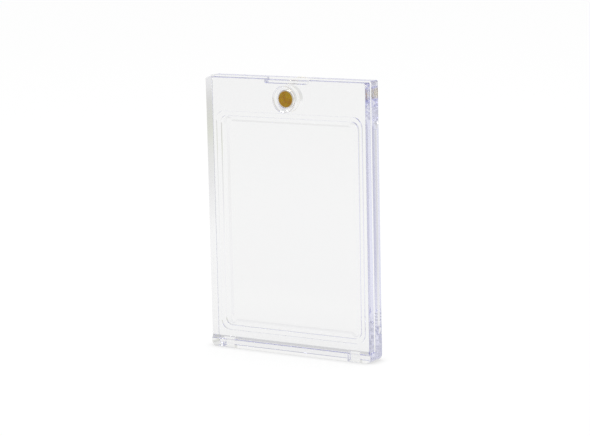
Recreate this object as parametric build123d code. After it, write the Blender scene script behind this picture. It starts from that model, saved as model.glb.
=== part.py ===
"""A clear two-part magnetic display case for one trading card, standing upright on its bottom ledge.

Frame: millimetres, +Z up, the front looks along -Y, the origin is under the middle of the base.
A place through the case's depth is given as its distance behind the front face.
"""

import os
from math import atan2, cos, degrees, radians, tan

from build123d import *

# ---------------------------------------------------------------- driving sizes, in millimetres

# the card that it holds
CARD_WIDTH = 63.5
CARD_HEIGHT = 88.9
CARD_THICKNESS = 0.9
CARD_SIDE_PLAY = 0.5
CARD_DEPTH_PLAY = 0.1

# the two slabs; the cover stays a little inside the shell's outline at the sides and at the top
COVER_THICKNESS = 4.25
SHELL_THICKNESS = 5.95
PARTING_GAP = 0.1
COVER_SIDE_INSET = 0.5
COVER_TOP_INSET = 0.6
FOOT_CORNER_RADIUS = 2.6
TOP_CORNER_RADIUS = 0.8
EDGE_ROUND = 0.35

# the ledge that carries the cover: it rises towards the back, so that the cover can tip forward
LEDGE_FRONT_HEIGHT = 3.6
LEDGE_BACK_HEIGHT = 4.6
COVER_SEAT_GAP = 0.15
COVER_NOSE_RADIUS = 0.5

# the shallow well for the card: bevelled walls, with a round relief at each corner
WELL_WALL_ANGLE = 45
WELL_RELIEF_RADIUS = 1.3

# the stepped recess round the well, which the cover's stepped panel enters
INNER_STEP_SIDE_MARGIN = 3.55
INNER_STEP_END_MARGIN = 2.8
INNER_STEP_DEPTH = 1.2
INNER_STEP_RADIUS = 3.5
OUTER_STEP_MARGIN = 2.15
OUTER_STEP_DEPTH = 0.8
OUTER_STEP_RADIUS = 4.8
STEP_SIDE_PLAY = 0.25
STEP_DRAFT = 1.5

# the shell's flat rim round the recess: its sides, and the sill between it and the ledge
SIDE_RIM_WIDTH = 3.8
SILL_HEIGHT = 2.9

# the prongs under the cover and their slots in the ledge
PRONG_WIDTH = 5.7
PRONG_SIDE_MARGIN = 5.5
PRONG_THICKNESS = 1.55
PRONG_TIP_THICKNESS = 1.05
PRONG_TIP_ROUND = 0.35
PRONG_TIP_Z = 0.8
SLOT_FRONT_WALL = 1.1
SLOT_SIDE_PLAY = 0.3
SLOT_FRONT_PLAY = 0.35

# the magnets, each behind a thin skin of its slab and sealed by a plug that fills the rest
MAGNET_RADIUS = 4.0
MAGNET_THICKNESS = 1.5
FRONT_MAGNET_SKIN = 0.3
REAR_MAGNET_SKIN = 0.5
MAGNET_EDGE_BEVEL = 0.4
MAGNET_RADIAL_PLAY = 0.08
PLUG_RADIUS = 5.85
PLUG_FOOT_MARGIN = 0.55
PLUG_HEAD_MARGIN = 3.25
PLUG_EDGE_BEVEL = 0.15
PLUG_RADIAL_PLAY = 0.08
GLUE_LINE = 0.05

# the fingernail notch at the top of the parting line
NOTCH_WIDTH = 22.2
NOTCH_DEPTH = 2.5
NOTCH_HALF_OPENING = 1.55
NOTCH_FLOOR_RADIUS = 0.5
NOTCH_END_RADIUS = 1.2

# ---------------------------------------------------------------- places worked out from them

# through the depth, from the front face
CASE_DEPTH = COVER_THICKNESS + PARTING_GAP + SHELL_THICKNESS
FRONT_Y = -CASE_DEPTH / 2
SHELL_FACE_DEPTH = COVER_THICKNESS + PARTING_GAP
PARTING_DEPTH = COVER_THICKNESS + PARTING_GAP / 2
OUTER_FLOOR_DEPTH = SHELL_FACE_DEPTH + OUTER_STEP_DEPTH
INNER_FLOOR_DEPTH = OUTER_FLOOR_DEPTH + INNER_STEP_DEPTH
WELL_DEPTH = CARD_THICKNESS + CARD_DEPTH_PLAY - PARTING_GAP
PRONG_FRONT_DEPTH = SLOT_FRONT_WALL + SLOT_FRONT_PLAY

# through the depth again: each magnet between its pocket's floor and its plug
FRONT_POCKET_DEPTH = COVER_THICKNESS - FRONT_MAGNET_SKIN
FRONT_MAGNET_DEPTH = FRONT_POCKET_DEPTH - GLUE_LINE - MAGNET_THICKNESS
REAR_POCKET_DEPTH = SHELL_FACE_DEPTH + REAR_MAGNET_SKIN
REAR_MAGNET_DEPTH = REAR_POCKET_DEPTH + GLUE_LINE
REAR_PLUG_SEAT_DEPTH = REAR_MAGNET_DEPTH + MAGNET_THICKNESS

# from the card outwards to the sides of the case
WELL_WIDTH = CARD_WIDTH + 2 * CARD_SIDE_PLAY
WELL_HEIGHT = CARD_HEIGHT + 2 * CARD_SIDE_PLAY
OUTER_STEP_WIDTH = WELL_WIDTH + 2 * (INNER_STEP_SIDE_MARGIN + OUTER_STEP_MARGIN)
OUTER_STEP_HEIGHT = WELL_HEIGHT + 2 * (INNER_STEP_END_MARGIN + OUTER_STEP_MARGIN)
CASE_WIDTH = OUTER_STEP_WIDTH + 2 * SIDE_RIM_WIDTH
COVER_WIDTH = CASE_WIDTH - 2 * COVER_SIDE_INSET
PRONG_CENTRE_X = COVER_WIDTH / 2 - PRONG_SIDE_MARGIN - PRONG_WIDTH / 2

# from the table up to the top of the case
OUTER_STEP_BOTTOM_Z = LEDGE_BACK_HEIGHT + SILL_HEIGHT
CARD_CENTRE_Z = OUTER_STEP_BOTTOM_Z + OUTER_STEP_HEIGHT / 2
OUTER_STEP_TOP_Z = OUTER_STEP_BOTTOM_Z + OUTER_STEP_HEIGHT
MAGNET_Z = OUTER_STEP_TOP_Z + PLUG_FOOT_MARGIN + PLUG_RADIUS
CASE_HEIGHT = MAGNET_Z + PLUG_RADIUS + PLUG_HEAD_MARGIN
COVER_TOP_Z = CASE_HEIGHT - COVER_TOP_INSET

# the cover rolls on its rounded lower front edge: the joint's axis runs through that round's centre
LEDGE_SLOPE = (LEDGE_BACK_HEIGHT - LEDGE_FRONT_HEIGHT) / SHELL_FACE_DEPTH
HINGE_DEPTH = COVER_NOSE_RADIUS


def underside_z(depth):
    """Height of the cover's sloped underside, `depth` behind the front face."""
    return LEDGE_FRONT_HEIGHT + COVER_SEAT_GAP + LEDGE_SLOPE * depth


HINGE_Z = underside_z(HINGE_DEPTH) + COVER_NOSE_RADIUS / cos(atan2(LEDGE_SLOPE, 1))


# ---------------------------------------------------------------- drawing helpers


def face_at(depth):
    """Upright drawing plane `depth` behind the front face, x to the right and y up."""
    return Plane.XZ.offset(-(FRONT_Y + depth))


def backwards(sketch, front_depth, back_depth):
    """A sketch of the front view, made solid from one depth back to another."""
    return extrude(face_at(front_depth) * sketch, amount=front_depth - back_depth)


def drafted(sketch, front_depth, back_depth):
    """The same for a step, narrowing backwards with the draft that lets it leave its mould."""
    step = face_at(front_depth) * sketch
    return extrude(step, amount=front_depth - back_depth, taper=STEP_DRAFT)


def across(points, width):
    """A side-view outline of (depth, z) points, `width` wide and centred on x = 0."""
    side = Plane(origin=(-width / 2, FRONT_Y, 0), x_dir=(0, 1, 0), z_dir=(1, 0, 0))
    return extrude(side * make_face(Polyline(*points, close=True)), amount=width)


def upright_rectangle(width, bottom_z, top_z, bottom_radius, top_radius):
    """Front-view rectangle with its own corner radius at the bottom and at the top."""
    sketch = Pos(0, (bottom_z + top_z) / 2) * Rectangle(width, top_z - bottom_z)
    sketch = fillet(sketch.vertices().group_by(Axis.Y)[0], bottom_radius)
    return fillet(sketch.vertices().group_by(Axis.Y)[-1], top_radius)


def slab_outline(width, top_z):
    """A slab from the front: well rounded at the foot, less so at the top."""
    return upright_rectangle(width, 0, top_z, FOOT_CORNER_RADIUS, TOP_CORNER_RADIUS)


def step_outline(inset, radius, play):
    """Outline of a step, `inset` inside the outer one, less a `play` all round."""
    shrink = 2 * (inset + play)
    outline = RectangleRounded(OUTER_STEP_WIDTH - shrink, OUTER_STEP_HEIGHT - shrink, radius - play)
    return Pos(0, CARD_CENTRE_Z) * outline


def disc(radius, front_depth, back_depth):
    """A round plate on the magnets' axis."""
    return backwards(Pos(0, MAGNET_Z) * Circle(radius), front_depth, back_depth)


def notch():
    """The fingernail notch: a square-bottomed trough along the parting line, open at the top."""
    side = Plane(origin=(-NOTCH_WIDTH / 2, FRONT_Y, 0), x_dir=(0, 1, 0), z_dir=(1, 0, 0))
    section = RectangleRounded(2 * NOTCH_HALF_OPENING, 2 * NOTCH_DEPTH, NOTCH_FLOOR_RADIUS)
    trough = extrude(side * Pos(PARTING_DEPTH, CASE_HEIGHT) * section, amount=NOTCH_WIDTH)
    ends = RectangleRounded(NOTCH_WIDTH, 2 * NOTCH_DEPTH, NOTCH_END_RADIUS)
    return trough & backwards(Pos(0, CASE_HEIGHT) * ends, 0, CASE_DEPTH)


def write_part(name, part):
    """Writes one node and prints its volume."""
    export_step(part, f"parts/{name}.step")
    print(f"{name:20s} {len(part.solids())} solid {part.volume / 1000:8.3f} cm3")


# ---------------------------------------------------------------- the rear shell


def slots():
    """The two slots down through the ledge, flush with the shell's front land at the back."""
    slot = Box(
        PRONG_WIDTH + 2 * SLOT_SIDE_PLAY,
        SHELL_FACE_DEPTH - SLOT_FRONT_WALL,
        2 * LEDGE_BACK_HEIGHT,
        align=(Align.CENTER, Align.MIN, Align.CENTER),
    )
    front_wall_y = FRONT_Y + SLOT_FRONT_WALL
    return [Pos(side * PRONG_CENTRE_X, front_wall_y, 0) * slot for side in (-1, 1)]


def card_well():
    """Shallow well for the card, and a round relief that spares each corner of the card."""
    spread = WELL_DEPTH * tan(radians(WELL_WALL_ANGLE))
    floor_centre = face_at(INNER_FLOOR_DEPTH + WELL_DEPTH) * Pos(0, CARD_CENTRE_Z)
    floor = Rectangle(WELL_WIDTH, WELL_HEIGHT)
    mouth = Pos(0, 0, WELL_DEPTH) * Rectangle(WELL_WIDTH + 2 * spread, WELL_HEIGHT + 2 * spread)
    well = loft([floor_centre * floor, floor_centre * mouth])
    relief = Cone(
        WELL_RELIEF_RADIUS,
        WELL_RELIEF_RADIUS + spread,
        WELL_DEPTH,
        align=(Align.CENTER, Align.CENTER, Align.MIN),
    )
    for corner in GridLocations(WELL_WIDTH, WELL_HEIGHT, 2, 2):
        well += floor_centre * corner * relief
    return well


def make_rear_shell():
    outline = slab_outline(CASE_WIDTH, CASE_HEIGHT)
    slab = backwards(outline, SHELL_FACE_DEPTH, CASE_DEPTH)
    ledge_side = [
        (0, 0),
        (0, LEDGE_FRONT_HEIGHT),
        (SHELL_FACE_DEPTH, LEDGE_BACK_HEIGHT),
        (SHELL_FACE_DEPTH, 0),
    ]
    shell = slab + (across(ledge_side, CASE_WIDTH) & backwards(outline, 0, SHELL_FACE_DEPTH))
    front_edges = shell.edges().filter_by_position(Axis.Y, FRONT_Y, FRONT_Y)
    back_edges = shell.edges().filter_by_position(Axis.Y, -FRONT_Y, -FRONT_Y)
    shell = fillet(front_edges + back_edges, EDGE_ROUND)

    outer_recess = step_outline(0, OUTER_STEP_RADIUS, 0)
    inner_recess = step_outline(OUTER_STEP_MARGIN, INNER_STEP_RADIUS, 0)
    shell -= drafted(outer_recess, SHELL_FACE_DEPTH, OUTER_FLOOR_DEPTH)
    shell -= drafted(inner_recess, OUTER_FLOOR_DEPTH, INNER_FLOOR_DEPTH)
    shell -= card_well()

    shell -= disc(PLUG_RADIUS + PLUG_RADIAL_PLAY, REAR_PLUG_SEAT_DEPTH, CASE_DEPTH)
    shell -= disc(MAGNET_RADIUS + MAGNET_RADIAL_PLAY, REAR_POCKET_DEPTH, CASE_DEPTH)
    shell -= notch()
    shell -= slots()
    return shell


# ---------------------------------------------------------------- the front cover


def make_prong(side):
    """One prong: it tapers to a rounded tip, and its root is buried in the cover's underside."""
    back_depth = PRONG_FRONT_DEPTH + PRONG_THICKNESS
    root_z = underside_z(back_depth) + COVER_NOSE_RADIUS
    taper = (PRONG_THICKNESS - PRONG_TIP_THICKNESS) / 2
    outline = [
        (PRONG_FRONT_DEPTH, root_z),
        (PRONG_FRONT_DEPTH + taper, PRONG_TIP_Z),
        (back_depth - taper, PRONG_TIP_Z),
        (back_depth, root_z),
    ]
    prong = across(outline, PRONG_WIDTH)
    prong = fillet(prong.edges().group_by(Axis.Z)[0], PRONG_TIP_ROUND)
    return Pos(side * PRONG_CENTRE_X, 0, 0) * prong


def make_front_cover():
    side_view = [
        (0, underside_z(0)),
        (COVER_THICKNESS, underside_z(COVER_THICKNESS)),
        (COVER_THICKNESS, COVER_TOP_Z),
        (0, COVER_TOP_Z),
    ]
    outline = slab_outline(COVER_WIDTH, COVER_TOP_Z)
    cover = across(side_view, COVER_WIDTH) & backwards(outline, 0, COVER_THICKNESS)
    nose = cover.edges().filter_by(Axis.X).sort_by(Axis.Z)[0]
    cover = fillet(nose, COVER_NOSE_RADIUS)
    front_edges = cover.edges().filter_by_position(Axis.Y, FRONT_Y, FRONT_Y)
    cover = fillet(front_edges.filter_by(Axis.X, reverse=True), EDGE_ROUND)

    outer_panel = step_outline(0, OUTER_STEP_RADIUS, STEP_SIDE_PLAY)
    inner_panel = step_outline(OUTER_STEP_MARGIN, INNER_STEP_RADIUS, STEP_SIDE_PLAY)
    outer_panel_depth = COVER_THICKNESS + OUTER_STEP_DEPTH
    cover += drafted(outer_panel, COVER_THICKNESS, outer_panel_depth)
    cover += drafted(inner_panel, outer_panel_depth, outer_panel_depth + INNER_STEP_DEPTH)

    cover -= disc(PLUG_RADIUS + PLUG_RADIAL_PLAY, 0, FRONT_MAGNET_DEPTH)
    cover -= disc(MAGNET_RADIUS + MAGNET_RADIAL_PLAY, 0, FRONT_POCKET_DEPTH)
    cover -= notch()
    for side in (-1, 1):
        cover += make_prong(side)
    return cover


# ---------------------------------------------------------------- magnets and their plugs


def make_magnet(front_depth):
    """A plated disc with its edges broken by grinding; both halves have the same one."""
    magnet = disc(MAGNET_RADIUS, front_depth, front_depth + MAGNET_THICKNESS)
    return chamfer(magnet.edges().filter_by(GeomType.CIRCLE), MAGNET_EDGE_BEVEL)


def make_plug(front_depth, back_depth):
    """A clear round plug with a fine bevel on both rims."""
    plug = disc(PLUG_RADIUS, front_depth, back_depth)
    return chamfer(plug.edges().filter_by(GeomType.CIRCLE), PLUG_EDGE_BEVEL)


PARTS = {
    "rear_shell": make_rear_shell(),
    "front_cover": make_front_cover(),
    "front_magnet": make_magnet(FRONT_MAGNET_DEPTH),
    "front_magnet_plug": make_plug(0, FRONT_MAGNET_DEPTH - GLUE_LINE),
    "rear_magnet": make_magnet(REAR_MAGNET_DEPTH),
    "rear_magnet_plug": make_plug(REAR_PLUG_SEAT_DEPTH + GLUE_LINE, CASE_DEPTH),
}

os.makedirs("parts", exist_ok=True)
for name, part in PARTS.items():
    write_part(name, part)
print(f"case {CASE_WIDTH:.2f} x {CASE_DEPTH:.2f} x {CASE_HEIGHT:.2f} mm, magnets at z {MAGNET_Z:.2f}")
print(f"swing axis at y {FRONT_Y + HINGE_DEPTH:.4f}, z {HINGE_Z:.4f}")
print(f"ledge slope {degrees(atan2(LEDGE_SLOPE, 1)):.2f} degrees")
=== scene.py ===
"""A clear two-part magnetic display case for one trading card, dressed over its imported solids.

The sections follow the case as it is put together: the rear shell, the front cover, the two
magnets, the plugs that seal them in, and last the table, the studio round it and the camera.
"""

import math

import bpy
from mathutils import Matrix, Vector


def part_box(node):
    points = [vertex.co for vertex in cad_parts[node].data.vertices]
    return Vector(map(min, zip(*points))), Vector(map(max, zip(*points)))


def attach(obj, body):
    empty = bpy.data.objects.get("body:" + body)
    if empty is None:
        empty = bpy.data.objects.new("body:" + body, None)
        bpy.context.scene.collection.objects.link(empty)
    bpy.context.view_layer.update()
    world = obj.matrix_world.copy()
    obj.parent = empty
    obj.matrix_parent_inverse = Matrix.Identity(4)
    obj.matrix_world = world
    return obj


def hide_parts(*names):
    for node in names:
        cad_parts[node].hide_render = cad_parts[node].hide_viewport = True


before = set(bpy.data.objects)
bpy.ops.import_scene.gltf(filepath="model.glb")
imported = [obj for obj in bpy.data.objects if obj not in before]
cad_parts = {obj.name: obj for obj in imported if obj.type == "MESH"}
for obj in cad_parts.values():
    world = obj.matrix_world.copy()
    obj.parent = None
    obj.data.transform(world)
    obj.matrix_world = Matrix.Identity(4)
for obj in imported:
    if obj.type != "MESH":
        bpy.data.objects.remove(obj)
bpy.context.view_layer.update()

# ---------------------------------------------------------------- the rear shell
# The thick back half: one injection moulding in clear acrylic (PMMA), with the stepped recess, the
# card's well and the ledge with its two slots. Polished cavities leave it as clear as glass. It
# stands on the table by itself, and everything else rests on it or is cemented into it.

MM = 0.001

ACRYLIC_IOR = 1.49
ACRYLIC_COLOUR = "FFFFFF"

# finger haze lies in ragged clouds 10 to 15 mm across and dulls the polish a little
HAZE_SIZE = 12 * MM
HAZE_DETAIL = 4.0
HAZE_START = 0.4
HAZE_FULL = 0.75
HAZE_ROUGHNESS = 0.04

# the mould's side walls are stoned and not polished, because the part slides along them; their
# roughness fades in between these distances from the piece's side
SIDE_ROUGHNESS = 0.08
SIDE_FADE_START = 0.15 * MM
SIDE_FADE_END = 0.02 * MM

# the foot is scuffed by the tables that it has stood on, up to a fraction of a millimetre
FOOT_ROUGHNESS = 0.06
FOOT_FADE_START = 0.02 * MM
FOOT_FADE_END = 0.2 * MM

# the polisher's felt doesn't reach the rounded edges, which face no axis: the greatest part of
# their normal is below these; only those near the sides and the top, with the notch, are dull
EDGE_ROUGHNESS = 0.3
EDGE_FACING_START = 0.98
EDGE_FACING_FULL = 0.93
EDGE_SIDE_REACH = 0.5 * MM
EDGE_TOP_REACH = 2.9 * MM

# flow waves 16 mm long and some hundredths of a millimetre high
WAVE_LENGTH = 16 * MM
WAVE_HEIGHT = 0.03 * MM
WAVE_STRENGTH = 0.2

# the toner against yellowing is seen only where light runs 100 mm along the width
TONER_COLOUR = "C4C6FC"
TONER_DENSITY = 4.0


def linear(hex_colour):
    """An sRGB hex colour such as "F2F2F0" as linear red, green, blue and alpha."""
    channels = [int(hex_colour[i:i + 2], 16) / 255 for i in (0, 2, 4)]
    return [c / 12.92 if c <= 0.04045 else ((c + 0.055) / 1.055) ** 2.4 for c in channels] + [1.0]


def add(tree, kind, links=None, **settings):
    """One node with its settings; `links` maps an input to a value or to another node's output."""
    node = tree.nodes.new(kind)
    for name, value in settings.items():
        setattr(node, name, value)
    for name, value in (links or {}).items():
        if isinstance(value, bpy.types.NodeSocket):
            tree.links.new(value, node.inputs[name])
        else:
            node.inputs[name].default_value = value
    return node


def new_material(name):
    """An empty node material and its output node."""
    material = bpy.data.materials.new(name)
    material.use_nodes = True
    material.node_tree.nodes.clear()
    return material, add(material.node_tree, "ShaderNodeOutputMaterial")


def moulded_acrylic(name, seed, corner):
    """Moulded PMMA: sharp refraction, faint flow waves, a lavender tint in depth.

    `corner` is the piece's greatest x, y and z: the walls and edges near it are less polished.
    """
    material, output = new_material(name)
    tree = material.node_tree
    coordinates = add(tree, "ShaderNodeTexCoord").outputs
    place = coordinates["Object"]
    parts = add(tree, "ShaderNodeSeparateXYZ", {"Vector": place}).outputs

    haze = add(tree, "ShaderNodeTexNoise", {
        "Vector": place, "W": seed, "Scale": 1 / HAZE_SIZE, "Detail": HAZE_DETAIL},
        noise_dimensions="4D")
    hazed = add(tree, "ShaderNodeMapRange", {
        "Value": haze.outputs["Fac"], "From Min": HAZE_START, "From Max": HAZE_FULL,
        "To Min": 0.0, "To Max": HAZE_ROUGHNESS})
    across = add(tree, "ShaderNodeMath", {0: parts["X"]}, operation="ABSOLUTE")
    side = add(tree, "ShaderNodeMapRange", {
        "Value": across.outputs["Value"], "From Min": corner.x - SIDE_FADE_START,
        "From Max": corner.x - SIDE_FADE_END, "To Min": 0.0, "To Max": SIDE_ROUGHNESS})
    foot = add(tree, "ShaderNodeMapRange", {
        "Value": parts["Z"], "From Min": FOOT_FADE_START, "From Max": FOOT_FADE_END,
        "To Min": FOOT_ROUGHNESS, "To Max": 0.0})

    facing = add(tree, "ShaderNodeVectorMath", {0: coordinates["Normal"]}, operation="ABSOLUTE")
    facings = add(tree, "ShaderNodeSeparateXYZ", {"Vector": facing.outputs["Vector"]}).outputs
    level = add(tree, "ShaderNodeMath", {0: facings["X"], 1: facings["Y"]}, operation="MAXIMUM")
    greatest = add(tree, "ShaderNodeMath", {
        0: level.outputs["Value"], 1: facings["Z"]}, operation="MAXIMUM")
    oblique = add(tree, "ShaderNodeMapRange", {
        "Value": greatest.outputs["Value"], "From Min": EDGE_FACING_START,
        "From Max": EDGE_FACING_FULL, "To Min": 0.0, "To Max": EDGE_ROUGHNESS})
    at_side = add(tree, "ShaderNodeMath", {
        0: across.outputs["Value"], 1: corner.x - EDGE_SIDE_REACH}, operation="GREATER_THAN")
    at_top = add(tree, "ShaderNodeMath", {
        0: parts["Z"], 1: corner.z - EDGE_TOP_REACH}, operation="GREATER_THAN")
    outline = add(tree, "ShaderNodeMath", {
        0: at_side.outputs["Value"], 1: at_top.outputs["Value"]}, operation="MAXIMUM")
    edge = add(tree, "ShaderNodeMath", {
        0: oblique.outputs["Result"], 1: outline.outputs["Value"]}, operation="MULTIPLY")

    # the roughest of the four counts
    worn = add(tree, "ShaderNodeMath", {
        0: side.outputs["Result"], 1: foot.outputs["Result"]}, operation="MAXIMUM")
    worn_or_edge = add(tree, "ShaderNodeMath", {
        0: worn.outputs["Value"], 1: edge.outputs["Value"]}, operation="MAXIMUM")
    roughness = add(tree, "ShaderNodeMath", {
        0: worn_or_edge.outputs["Value"], 1: hazed.outputs["Result"]}, operation="MAXIMUM")

    waves = add(tree, "ShaderNodeTexNoise", {
        "Vector": place, "W": seed, "Scale": 1 / WAVE_LENGTH, "Detail": 0.0},
        noise_dimensions="4D")
    bump = add(tree, "ShaderNodeBump", {
        "Strength": WAVE_STRENGTH, "Distance": WAVE_HEIGHT, "Height": waves.outputs["Fac"]})
    shader = add(tree, "ShaderNodeBsdfPrincipled", {
        "Base Color": linear(ACRYLIC_COLOUR), "Roughness": roughness.outputs["Value"],
        "IOR": ACRYLIC_IOR, "Transmission Weight": 1.0, "Normal": bump.outputs["Normal"]})
    toner = add(tree, "ShaderNodeVolumeAbsorption", {
        "Color": linear(TONER_COLOUR), "Density": TONER_DENSITY})
    tree.links.new(shader.outputs["BSDF"], output.inputs["Surface"])
    tree.links.new(toner.outputs["Volume"], output.inputs["Volume"])
    return material


def finish_node(name, material):
    """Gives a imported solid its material; its shape and place stay as they are."""
    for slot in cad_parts[name].material_slots:
        slot.material = material


low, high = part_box("rear_shell")
finish_node("rear_shell", moulded_acrylic("shell_moulded_acrylic", 1.0, high))

# ---------------------------------------------------------------- the front cover
# The front half, moulded from the same acrylic in another cavity. Its two prongs drop into the
# ledge's slots and its stepped back enters the shell's recess; nothing but the magnets holds it.

low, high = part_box("front_cover")
finish_node("front_cover", moulded_acrylic("cover_moulded_acrylic", 2.0, high))

# ---------------------------------------------------------------- the magnets
# Two neodymium discs, ground and barrel-plated in gold over nickel, one in a blind pocket of each
# half. They face each other across the parting line, and a clear cement wets their outer faces.

MAGNET_Z = 113.7 * MM
MAGNET_RADIUS = 4.0 * MM
MAGNET_EDGE = 0.4 * MM
# the cement has the plug's own index, so the gold's flat face reaches into the plug
CEMENT_REACH = 0.06 * MM

# how finely a disc is drawn: points round its rim and round an edge, and what is one point
RIM_POINTS = 128
EDGE_POINTS = 6
SAME_POINT = 0.001 * MM
# edges that turn by less than this are smooth
SMOOTH_BELOW = math.radians(40)

# plating clouds 2 to 3 mm across, between a thin and a full coat
PLATING_CLOUD = 2.6 * MM
PLATING_DETAIL = 2.0
THIN_COAT = 0.35
FULL_COAT = 0.65
# the discs knock together in the barrel, so that the nickel shows at the rim
WORN_START = MAGNET_RADIUS - 0.6 * MM
WORN_END = MAGNET_RADIUS - 0.4 * MM
WORN_COLOUR = "F8F2E0"
# the tumbling leaves dents a third of a millimetre across
DENT_SIZE = 0.35 * MM
DENT_DETAIL = 1.0
DENT_DEPTH = 0.01 * MM
DENT_STRENGTH = 0.25
GOLD_ROUGHNESS = (0.16, 0.3)


def turned_disc_tree():
    """A disc as if from a lathe: a rounded profile swept about an axis along the case's depth."""
    tree = bpy.data.node_groups.new("turned disc", "GeometryNodeTree")
    tree.is_modifier = True
    for name, kind in (("Radius", "Float"), ("Thickness", "Float"), ("Edge Radius", "Float"),
                       ("Centre", "Vector"), ("Material", "Material")):
        tree.interface.new_socket(name, in_out="INPUT", socket_type="NodeSocket" + kind)
    tree.interface.new_socket("Geometry", in_out="OUTPUT", socket_type="NodeSocketGeometry")
    size = add(tree, "NodeGroupInput").outputs

    # the profile's four points, measured outwards from the rim: the axis is one radius inwards
    half = add(tree, "ShaderNodeMath", {0: size["Thickness"], 1: 2.0}, operation="DIVIDE")
    near = half.outputs["Value"]
    far = add(tree, "ShaderNodeMath", {0: near, 1: -1.0}, operation="MULTIPLY").outputs["Value"]
    inwards = add(tree, "ShaderNodeMath", {0: size["Radius"], 1: -1.0}, operation="MULTIPLY")
    axis = inwards.outputs["Value"]
    corners = ((axis, far), (0.0, far), (0.0, near), (axis, near))
    pick = add(tree, "GeometryNodeIndexSwitch", data_type="VECTOR")
    tree.links.new(add(tree, "GeometryNodeInputIndex").outputs["Index"], pick.inputs["Index"])
    for number, (x, y) in enumerate(corners):
        if number >= len(pick.index_switch_items):
            pick.index_switch_items.new()
        point = add(tree, "ShaderNodeCombineXYZ", {"X": x, "Y": y})
        tree.links.new(point.outputs["Vector"], pick.inputs[str(number)])
    points = add(tree, "GeometryNodeMeshLine", {"Count": len(corners)})
    placed = add(tree, "GeometryNodeSetPosition", {
        "Geometry": points.outputs["Mesh"], "Position": pick.outputs["Output"]})
    profile = add(tree, "GeometryNodeMeshToCurve", {"Mesh": placed.outputs["Geometry"]})
    # only the two outer corners are rounded, because the line's ends keep theirs
    rounded = add(tree, "GeometryNodeFilletCurve", {
        "Curve": profile.outputs["Curve"], "Radius": size["Edge Radius"],
        "Count": EDGE_POINTS}, mode="POLY")
    closed = add(tree, "GeometryNodeSetSplineCyclic", {
        "Geometry": rounded.outputs["Curve"], "Cyclic": True})

    # once round the axis, with the poles welded and the line between them taken out
    rim = add(tree, "GeometryNodeCurvePrimitiveCircle", {
        "Resolution": RIM_POINTS, "Radius": size["Radius"]})
    swept = add(tree, "GeometryNodeCurveToMesh", {
        "Curve": rim.outputs["Curve"], "Profile Curve": closed.outputs["Geometry"]})
    welded = add(tree, "GeometryNodeMergeByDistance", {
        "Geometry": swept.outputs["Mesh"], "Distance": SAME_POINT})
    neighbours = add(tree, "GeometryNodeInputMeshEdgeNeighbors")
    loose = add(tree, "FunctionNodeCompare", {
        2: neighbours.outputs["Face Count"], 3: 0}, data_type="INT", operation="EQUAL")
    clean = add(tree, "GeometryNodeDeleteGeometry", {
        "Geometry": welded.outputs["Geometry"], "Selection": loose.outputs["Result"]},
        domain="EDGE")
    stood = add(tree, "GeometryNodeTransform", {
        "Geometry": clean.outputs["Geometry"], "Translation": size["Centre"],
        "Rotation": (math.pi / 2, 0, 0)})
    real = add(tree, "GeometryNodeRealizeInstances", {"Geometry": stood.outputs["Geometry"]})
    coated = add(tree, "GeometryNodeSetMaterial", {
        "Geometry": real.outputs["Geometry"], "Material": size["Material"]})
    add(tree, "NodeGroupOutput", {"Geometry": coated.outputs["Geometry"]})
    return tree


TURNED_DISC = turned_disc_tree()


def turned_disc(node, body, material, front, back, radius, edge):
    """A disc from y = `front` to y = `back` on the magnets' axis, which stands for a packed one."""
    blank = bpy.data.objects.new(node + "_tree", bpy.data.meshes.new(node + "_tree"))
    bpy.context.scene.collection.objects.link(blank)
    modifier = blank.modifiers.new("turned disc", "NODES")
    modifier.node_group = TURNED_DISC
    sizes = {
        "Radius": radius, "Thickness": back - front, "Edge Radius": edge,
        "Centre": (0.0, (front + back) / 2, MAGNET_Z), "Material": material}
    for item in TURNED_DISC.interface.items_tree:
        if item.in_out == "INPUT":
            modifier[item.identifier] = sizes[item.name]
    evaluated = blank.evaluated_get(bpy.context.evaluated_depsgraph_get())
    mesh = bpy.data.meshes.new_from_object(evaluated)
    mesh.shade_smooth()
    mesh.set_sharp_from_angle(angle=SMOOTH_BELOW)
    bpy.data.objects.remove(blank)
    disc = bpy.data.objects.new(node + "_disc", mesh)
    bpy.context.scene.collection.objects.link(disc)
    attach(disc, body)
    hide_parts(node)


def axis_centred(tree):
    """Object coordinates whose zero is on the axis through the magnets."""
    place = add(tree, "ShaderNodeTexCoord").outputs["Object"]
    centred = add(tree, "ShaderNodeMapping", {"Vector": place, "Location": (0.0, 0.0, -MAGNET_Z)})
    return centred.outputs["Vector"]


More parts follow.
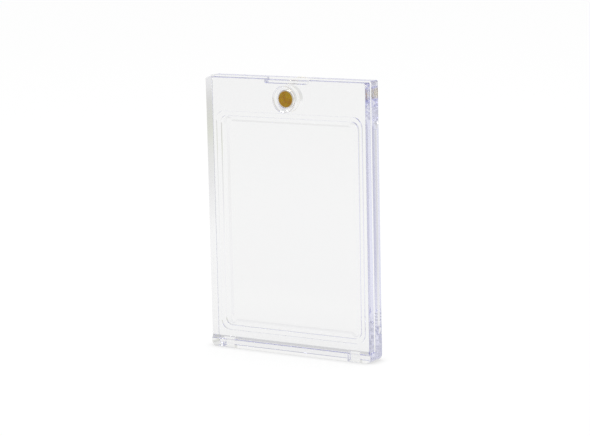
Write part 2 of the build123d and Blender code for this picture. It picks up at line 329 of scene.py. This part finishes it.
def gold_plating(name, thin, full):
    """Barrel-plated gold over nickel, bright and cloudy and worn to a pale rim.

    `thin` and `full` are the coat's colours in its thin and full clouds.
    """
    material, output = new_material(name)
    tree = material.node_tree
    place = axis_centred(tree)
    clouds = add(tree, "ShaderNodeTexNoise", {
        "Vector": place, "Scale": 1 / PLATING_CLOUD, "Detail": PLATING_DETAIL})
    coat = add(tree, "ShaderNodeMapRange", {
        "Value": clouds.outputs["Fac"], "From Min": THIN_COAT, "From Max": FULL_COAT})
    # a colour Mix node's inputs 6 and 7 are its two colours, and its output 2 is their mix
    gold = add(tree, "ShaderNodeMix", {
        "Factor": coat.outputs["Result"], 6: linear(thin), 7: linear(full)}, data_type="RGBA")
    disc_plane = add(tree, "ShaderNodeVectorMath", {
        0: place, 1: (1.0, 0.0, 1.0)}, operation="MULTIPLY")
    radius = add(tree, "ShaderNodeVectorMath", {
        0: disc_plane.outputs["Vector"]}, operation="LENGTH")
    rim = add(tree, "ShaderNodeMapRange", {
        "Value": radius.outputs["Value"], "From Min": WORN_START, "From Max": WORN_END})
    colour = add(tree, "ShaderNodeMix", {
        "Factor": rim.outputs["Result"], 6: gold.outputs[2], 7: linear(WORN_COLOUR)},
        data_type="RGBA")
    dents = add(tree, "ShaderNodeTexNoise", {
        "Vector": place, "Scale": 1 / DENT_SIZE, "Detail": DENT_DETAIL})
    bump = add(tree, "ShaderNodeBump", {
        "Strength": DENT_STRENGTH, "Distance": DENT_DEPTH, "Height": dents.outputs["Fac"]})
    polish = add(tree, "ShaderNodeMapRange", {
        "Value": dents.outputs["Fac"], "To Min": GOLD_ROUGHNESS[0], "To Max": GOLD_ROUGHNESS[1]})
    shader = add(tree, "ShaderNodeBsdfPrincipled", {
        "Base Color": colour.outputs[2], "Metallic": 1.0, "Roughness": polish.outputs["Result"],
        "Normal": bump.outputs["Normal"]})
    tree.links.new(shader.outputs["BSDF"], output.inputs["Surface"])
    return material


full_coat = gold_plating("barrel_plated_gold", "BE8600", "CEA600")
low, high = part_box("front_magnet")
turned_disc("front_magnet", "cover", full_coat,
            low.y - CEMENT_REACH, high.y, MAGNET_RADIUS, MAGNET_EDGE)
# the rear disc is from a thin batch: its gold is a breath over the nickel
thin_coat = gold_plating("thinly_plated_gold", "DFD2A8", "E8DCB4")
low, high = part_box("rear_magnet")
turned_disc("rear_magnet", "case_back", thin_coat,
            low.y, high.y + CEMENT_REACH, MAGNET_RADIUS, MAGNET_EDGE)

# ---------------------------------------------------------------- the plugs
# Two clear discs turned from acrylic rod, each pushed into a seat and cemented over its magnet,
# flush with the slab. The lathe leaves faint rings on their faces.

PLUG_RADIUS = 5.85 * MM
PLUG_EDGE = 0.15 * MM

# real feed marks are too fine to show, so the rings are drawn 2.5 mm apart, which is one radian
# of the wave in 0.4 mm
RING_RADIAN = 0.4 * MM
# the Wave node turns by so many radians in one unit
WAVE_NODE_RADIANS = 20
RING_DISTORTION = 0.3
RING_HEIGHT = 0.004 * MM
RING_STRENGTH = 0.15
PLUG_ROUGHNESS = (0.01, 0.05)


def turned_acrylic():
    """Acrylic rod faced on a lathe and flame-polished: clear, with the rings almost gone."""
    material, output = new_material("turned_acrylic")
    tree = material.node_tree
    rings = add(tree, "ShaderNodeTexWave", {
        "Vector": axis_centred(tree), "Scale": 1 / (WAVE_NODE_RADIANS * RING_RADIAN),
        "Distortion": RING_DISTORTION}, wave_type="RINGS", rings_direction="Y")
    bump = add(tree, "ShaderNodeBump", {
        "Strength": RING_STRENGTH, "Distance": RING_HEIGHT, "Height": rings.outputs["Fac"]})
    roughness = add(tree, "ShaderNodeMapRange", {
        "Value": rings.outputs["Fac"], "To Min": PLUG_ROUGHNESS[0], "To Max": PLUG_ROUGHNESS[1]})
    shader = add(tree, "ShaderNodeBsdfPrincipled", {
        "Base Color": linear(ACRYLIC_COLOUR), "Roughness": roughness.outputs["Result"],
        "IOR": ACRYLIC_IOR, "Transmission Weight": 1.0, "Normal": bump.outputs["Normal"]})
    tree.links.new(shader.outputs["BSDF"], output.inputs["Surface"])
    return material


plug_acrylic = turned_acrylic()
for node, body in (("front_magnet_plug", "cover"), ("rear_magnet_plug", "case_back")):
    low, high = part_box(node)
    turned_disc(node, body, plug_acrylic, low.y, high.y, PLUG_RADIUS, PLUG_EDGE)

# ---------------------------------------------------------------- the table and the studio
# A sheet of white paper under the case and a white sweep behind it. The room is dimmer on the
# camera's side, with a window on the right; a grey corner stands behind the case on the right, and
# one soft lamp hangs overhead. Only the clear plastic and the gold show the room's tones: the world
# lights them with these tones, and the paper's glow is painted with the same light and shade, as
# painted shade on the camera's side and from the grey corner and a painted pool of window light.

FLOOR_REACH = 3.0
# the case stands on the paper's grain, not in it
PAPER_Z = -0.05 * MM
# how far away the room's walls are taken to be
ROOM_DISTANCE = 0.6

# the sweep's tones from the camera's side to the back: where each one is, and its colour; on the
# paper's glow they are painted shade, darker on the camera's side
SWEEP_START = -0.15
SWEEP_END = 0.35
SWEEP_LIGHT_TONES = ((-0.14, "CECED4"), (-0.02, "F0F0EF"), (0.10, "FAFAF7"), (0.20, "FBFBF8"),
               (0.35, "FCFCF9"))
# the window lightens the camera's side from left to right; on the paper's glow this is a painted
# pool of window light
WINDOW_START = -0.25
WINDOW_FULL = 0.15
WINDOW_TONE = "E6E6EC"
# the wall's tones from left to right, which dim the sweep's; on the paper's glow they are painted
# shade from the grey corner
WALL_START = 0.12
WALL_END = 0.64
WALL_SHADE_TONES = ((0.13, "FDFDFD"), (0.19, "F5F5F5"), (0.24, "EEEEEF"), (0.29, "EAEAE8"),
              (0.36, "E5E6E3"), (0.41, "DDDFD1"), (0.46, "D6D7CD"), (0.51, "D9D9D5"),
              (0.58, "D5D5D4"), (0.62, "F2F2F4"))
# the ceiling is dimmer than the wall, which turns into it between these heights
CEILING_START = 0.1
CEILING_FULL = 0.4
CEILING_TONE = 0.8

# the paper: how bright it looks, how much of the lamp's light it adds, and what it casts back
PAPER_GLOW = 0.92
PAPER_LIT = 0.1
PAPER_WHITE = 0.8
# a faint painted shadow where the case stands on the paper: ambient occlusion darkens its glow to
# the camera
CONTACT_REACH = 5 * MM
CONTACT_SAMPLES = 6
CONTACT_SHADOW_TONE = 0.75
CONTACT_START = 0.3
CONTACT_END = 0.95


def toned(tree, value, start, end, tones):
    """The colour that a list of tones has at a value between its start and its end."""
    part = add(tree, "ShaderNodeMapRange", {"Value": value, "From Min": start, "From Max": end})
    ramp = add(tree, "ShaderNodeValToRGB", {"Fac": part.outputs["Result"]})
    stops = ramp.color_ramp.elements
    while len(stops) < len(tones):
        stops.new(0.5)
    # all the places first, because a stop that moves past another changes number with it
    for stop, (place, tone) in zip(stops, tones):
        stop.position = (place - start) / (end - start)
    for stop, (place, tone) in zip(stops, tones):
        stop.color = linear(tone)
    return ramp.outputs["Color"]


def room_tone(tree, place):
    """The room's light and shade at a place on the table, in metres from the case, as glass shows
    it.

    On the paper's glow it is painted light and shade; in the world it is the world's own light.
    """
    parts = add(tree, "ShaderNodeSeparateXYZ", {"Vector": place}).outputs
    # where these tones are the paper's glow they are painted light and shade: shade on the camera's
    # side, window light, and the grey corner's shade
    sweep = toned(tree, parts["Y"], SWEEP_START, SWEEP_END, SWEEP_LIGHT_TONES)
    window = add(tree, "ShaderNodeMapRange", {
        "Value": parts["X"], "From Min": WINDOW_START, "From Max": WINDOW_FULL},
        interpolation_type="SMOOTHSTEP")
    window_light = add(tree, "ShaderNodeMix", {
        "Factor": window.outputs["Result"], 6: linear("000000"), 7: linear(WINDOW_TONE)},
        data_type="RGBA")
    lightened = add(tree, "ShaderNodeMix", {
        "Factor": 1.0, 6: sweep, 7: window_light.outputs[2]},
        data_type="RGBA", blend_type="LIGHTEN")
    wall = toned(tree, parts["X"], WALL_START, WALL_END, WALL_SHADE_TONES)
    both = add(tree, "ShaderNodeMix", {
        "Factor": 1.0, 6: lightened.outputs[2], 7: wall}, data_type="RGBA", blend_type="MULTIPLY")
    above = add(tree, "ShaderNodeMapRange", {
        "Value": parts["Z"], "From Min": CEILING_START, "From Max": CEILING_FULL,
        "To Min": 1.0, "To Max": CEILING_TONE})
    dimmed = add(tree, "ShaderNodeVectorMath", {
        0: both.outputs[2], "Scale": above.outputs["Result"]}, operation="SCALE")
    return dimmed.outputs["Vector"]


def seen_in_glass(tree):
    """1 for a ray that comes through glass or off a polished surface, 0 for any other."""
    path = add(tree, "ShaderNodeLightPath").outputs
    either = add(tree, "ShaderNodeMath", {
        0: path["Is Glossy Ray"], 1: path["Is Transmission Ray"]}, operation="MAXIMUM")
    return either.outputs["Value"]


floor_mesh = bpy.data.meshes.new("paper")
corners = [(-1, -1), (1, -1), (1, 1), (-1, 1)]
floor_mesh.from_pydata(
    [(x * FLOOR_REACH, y * FLOOR_REACH, PAPER_Z) for x, y in corners], [], [(0, 1, 2, 3)])
floor = bpy.data.objects.new("paper", floor_mesh)
bpy.context.scene.collection.objects.link(floor)

# matt white paper: even and without gloss, with a faint painted shadow where the case stands; the
# plastic sees its glow painted with the room's light and shade
paper, paper_output = new_material("white_paper")
tree = paper.node_tree
place = add(tree, "ShaderNodeNewGeometry").outputs["Position"]
path = add(tree, "ShaderNodeLightPath").outputs
# painted shadow where the case stands: ambient occlusion darkens the paper's glow to the camera
nearness = add(tree, "ShaderNodeAmbientOcclusion", {
    "Distance": CONTACT_REACH}, samples=CONTACT_SAMPLES)
painted_shadow_near_case = add(tree, "ShaderNodeMapRange", {
    "Value": nearness.outputs["AO"], "From Min": CONTACT_START, "From Max": CONTACT_END,
    "To Min": CONTACT_SHADOW_TONE, "To Max": 1.0})
# painted light and shade: glass sees the room's light and shade on the paper's glow, and the camera
# sees the painted shadow near the case
tone = add(tree, "ShaderNodeMix", {
    "Factor": path["Is Camera Ray"], 6: room_tone(tree, place), 7: painted_shadow_near_case.outputs["Result"]},
    data_type="RGBA")
glow = add(tree, "ShaderNodeEmission", {"Color": tone.outputs[2], "Strength": PAPER_GLOW})
lit = add(tree, "ShaderNodeBsdfDiffuse", {"Color": [PAPER_LIT] * 3 + [1.0]})
shown = add(tree, "ShaderNodeAddShader", {0: glow.outputs["Emission"], 1: lit.outputs["BSDF"]})
plain = add(tree, "ShaderNodeBsdfDiffuse", {"Color": [PAPER_WHITE] * 3 + [1.0]})
direct = add(tree, "ShaderNodeMath", {
    0: path["Is Camera Ray"], 1: seen_in_glass(tree)}, operation="MAXIMUM")
either = add(tree, "ShaderNodeMixShader", {
    0: direct.outputs["Value"], 1: plain.outputs["BSDF"], 2: shown.outputs["Shader"]})
tree.links.new(either.outputs["Shader"], paper_output.inputs["Surface"])
floor_mesh.materials.append(paper)

# the room beyond the paper: white to the camera, and in its own tones to the glass
world = bpy.data.worlds.new("studio")
bpy.context.scene.world = world
world.use_nodes = True
tree = world.node_tree
tree.nodes.clear()
heading = add(tree, "ShaderNodeTexCoord").outputs["Generated"]
place = add(tree, "ShaderNodeVectorMath", {0: heading, "Scale": ROOM_DISTANCE}, operation="SCALE")
tone = add(tree, "ShaderNodeMix", {
    "Factor": add(tree, "ShaderNodeLightPath").outputs["Is Camera Ray"],
    6: room_tone(tree, place.outputs["Vector"]), 7: linear("FFFFFF")}, data_type="RGBA")
background = add(tree, "ShaderNodeBackground", {"Color": tone.outputs[2], "Strength": 1.0})
world_output = add(tree, "ShaderNodeOutputWorld")
tree.links.new(background.outputs["Background"], world_output.inputs["Surface"])

# a square softbox straight overhead, in metres and watts; a lamp that isn't turned faces down
SOFTBOX_HEIGHT = 1.4
SOFTBOX_SIDE = 0.8
SOFTBOX_POWER = 8.0
softbox = bpy.data.lights.new("overhead_softbox", "AREA")
softbox.size = SOFTBOX_SIDE
softbox.energy = SOFTBOX_POWER
holder = bpy.data.objects.new("overhead_softbox", softbox)
holder.location = (0.0, 0.0, SOFTBOX_HEIGHT)
bpy.context.scene.collection.objects.link(holder)

# ---------------------------------------------------------------- the camera
# A long lens at the height of the case's top, well to the right of its middle.

VIEW_YAW = math.radians(32.7)
VIEW_ELEVATION = math.radians(9.3)
VIEW_ROLL = math.radians(1.26)
VIEW_DISTANCE = 963.7 * MM
FOCAL_PIXELS = 2184.0
FRAME_WIDTH_PIXELS = 590.0
# a full-frame sensor's width, in millimetres as the lens is
SENSOR_WIDTH = 36.0
# what stands in the middle of the frame: a height on the case's axis, moved right and down
AIM_HEIGHT = 61.5 * MM
AIM_RIGHT = 1.02 * MM
AIM_UP = -0.86 * MM

back = Vector((math.sin(VIEW_YAW) * math.cos(VIEW_ELEVATION),
               -math.cos(VIEW_YAW) * math.cos(VIEW_ELEVATION), math.sin(VIEW_ELEVATION)))
right = Vector((math.cos(VIEW_YAW), math.sin(VIEW_YAW), 0))
up = back.cross(right)
lens = bpy.data.cameras.new("camera")
lens.sensor_width = SENSOR_WIDTH
lens.lens = FOCAL_PIXELS / FRAME_WIDTH_PIXELS * SENSOR_WIDTH
camera = bpy.data.objects.new("camera", lens)
bpy.context.scene.collection.objects.link(camera)
upright = Matrix((right, up, back)).transposed()
place = Vector((0, 0, AIM_HEIGHT)) + right * AIM_RIGHT + up * AIM_UP + back * VIEW_DISTANCE
camera.matrix_world = (
    Matrix.Translation(place) @ (upright @ Matrix.Rotation(-VIEW_ROLL, 3, "Z")).to_4x4())
bpy.context.scene.camera = camera

bpy.context.scene.view_settings.view_transform = "Standard"
# light that is caught inside the slabs by total reflection needs many turns to come out
TURNS_OF_LIGHT = 128
cycles = bpy.context.scene.cycles
cycles.max_bounces = cycles.transmission_bounces = cycles.glossy_bounces = TURNS_OF_LIGHT
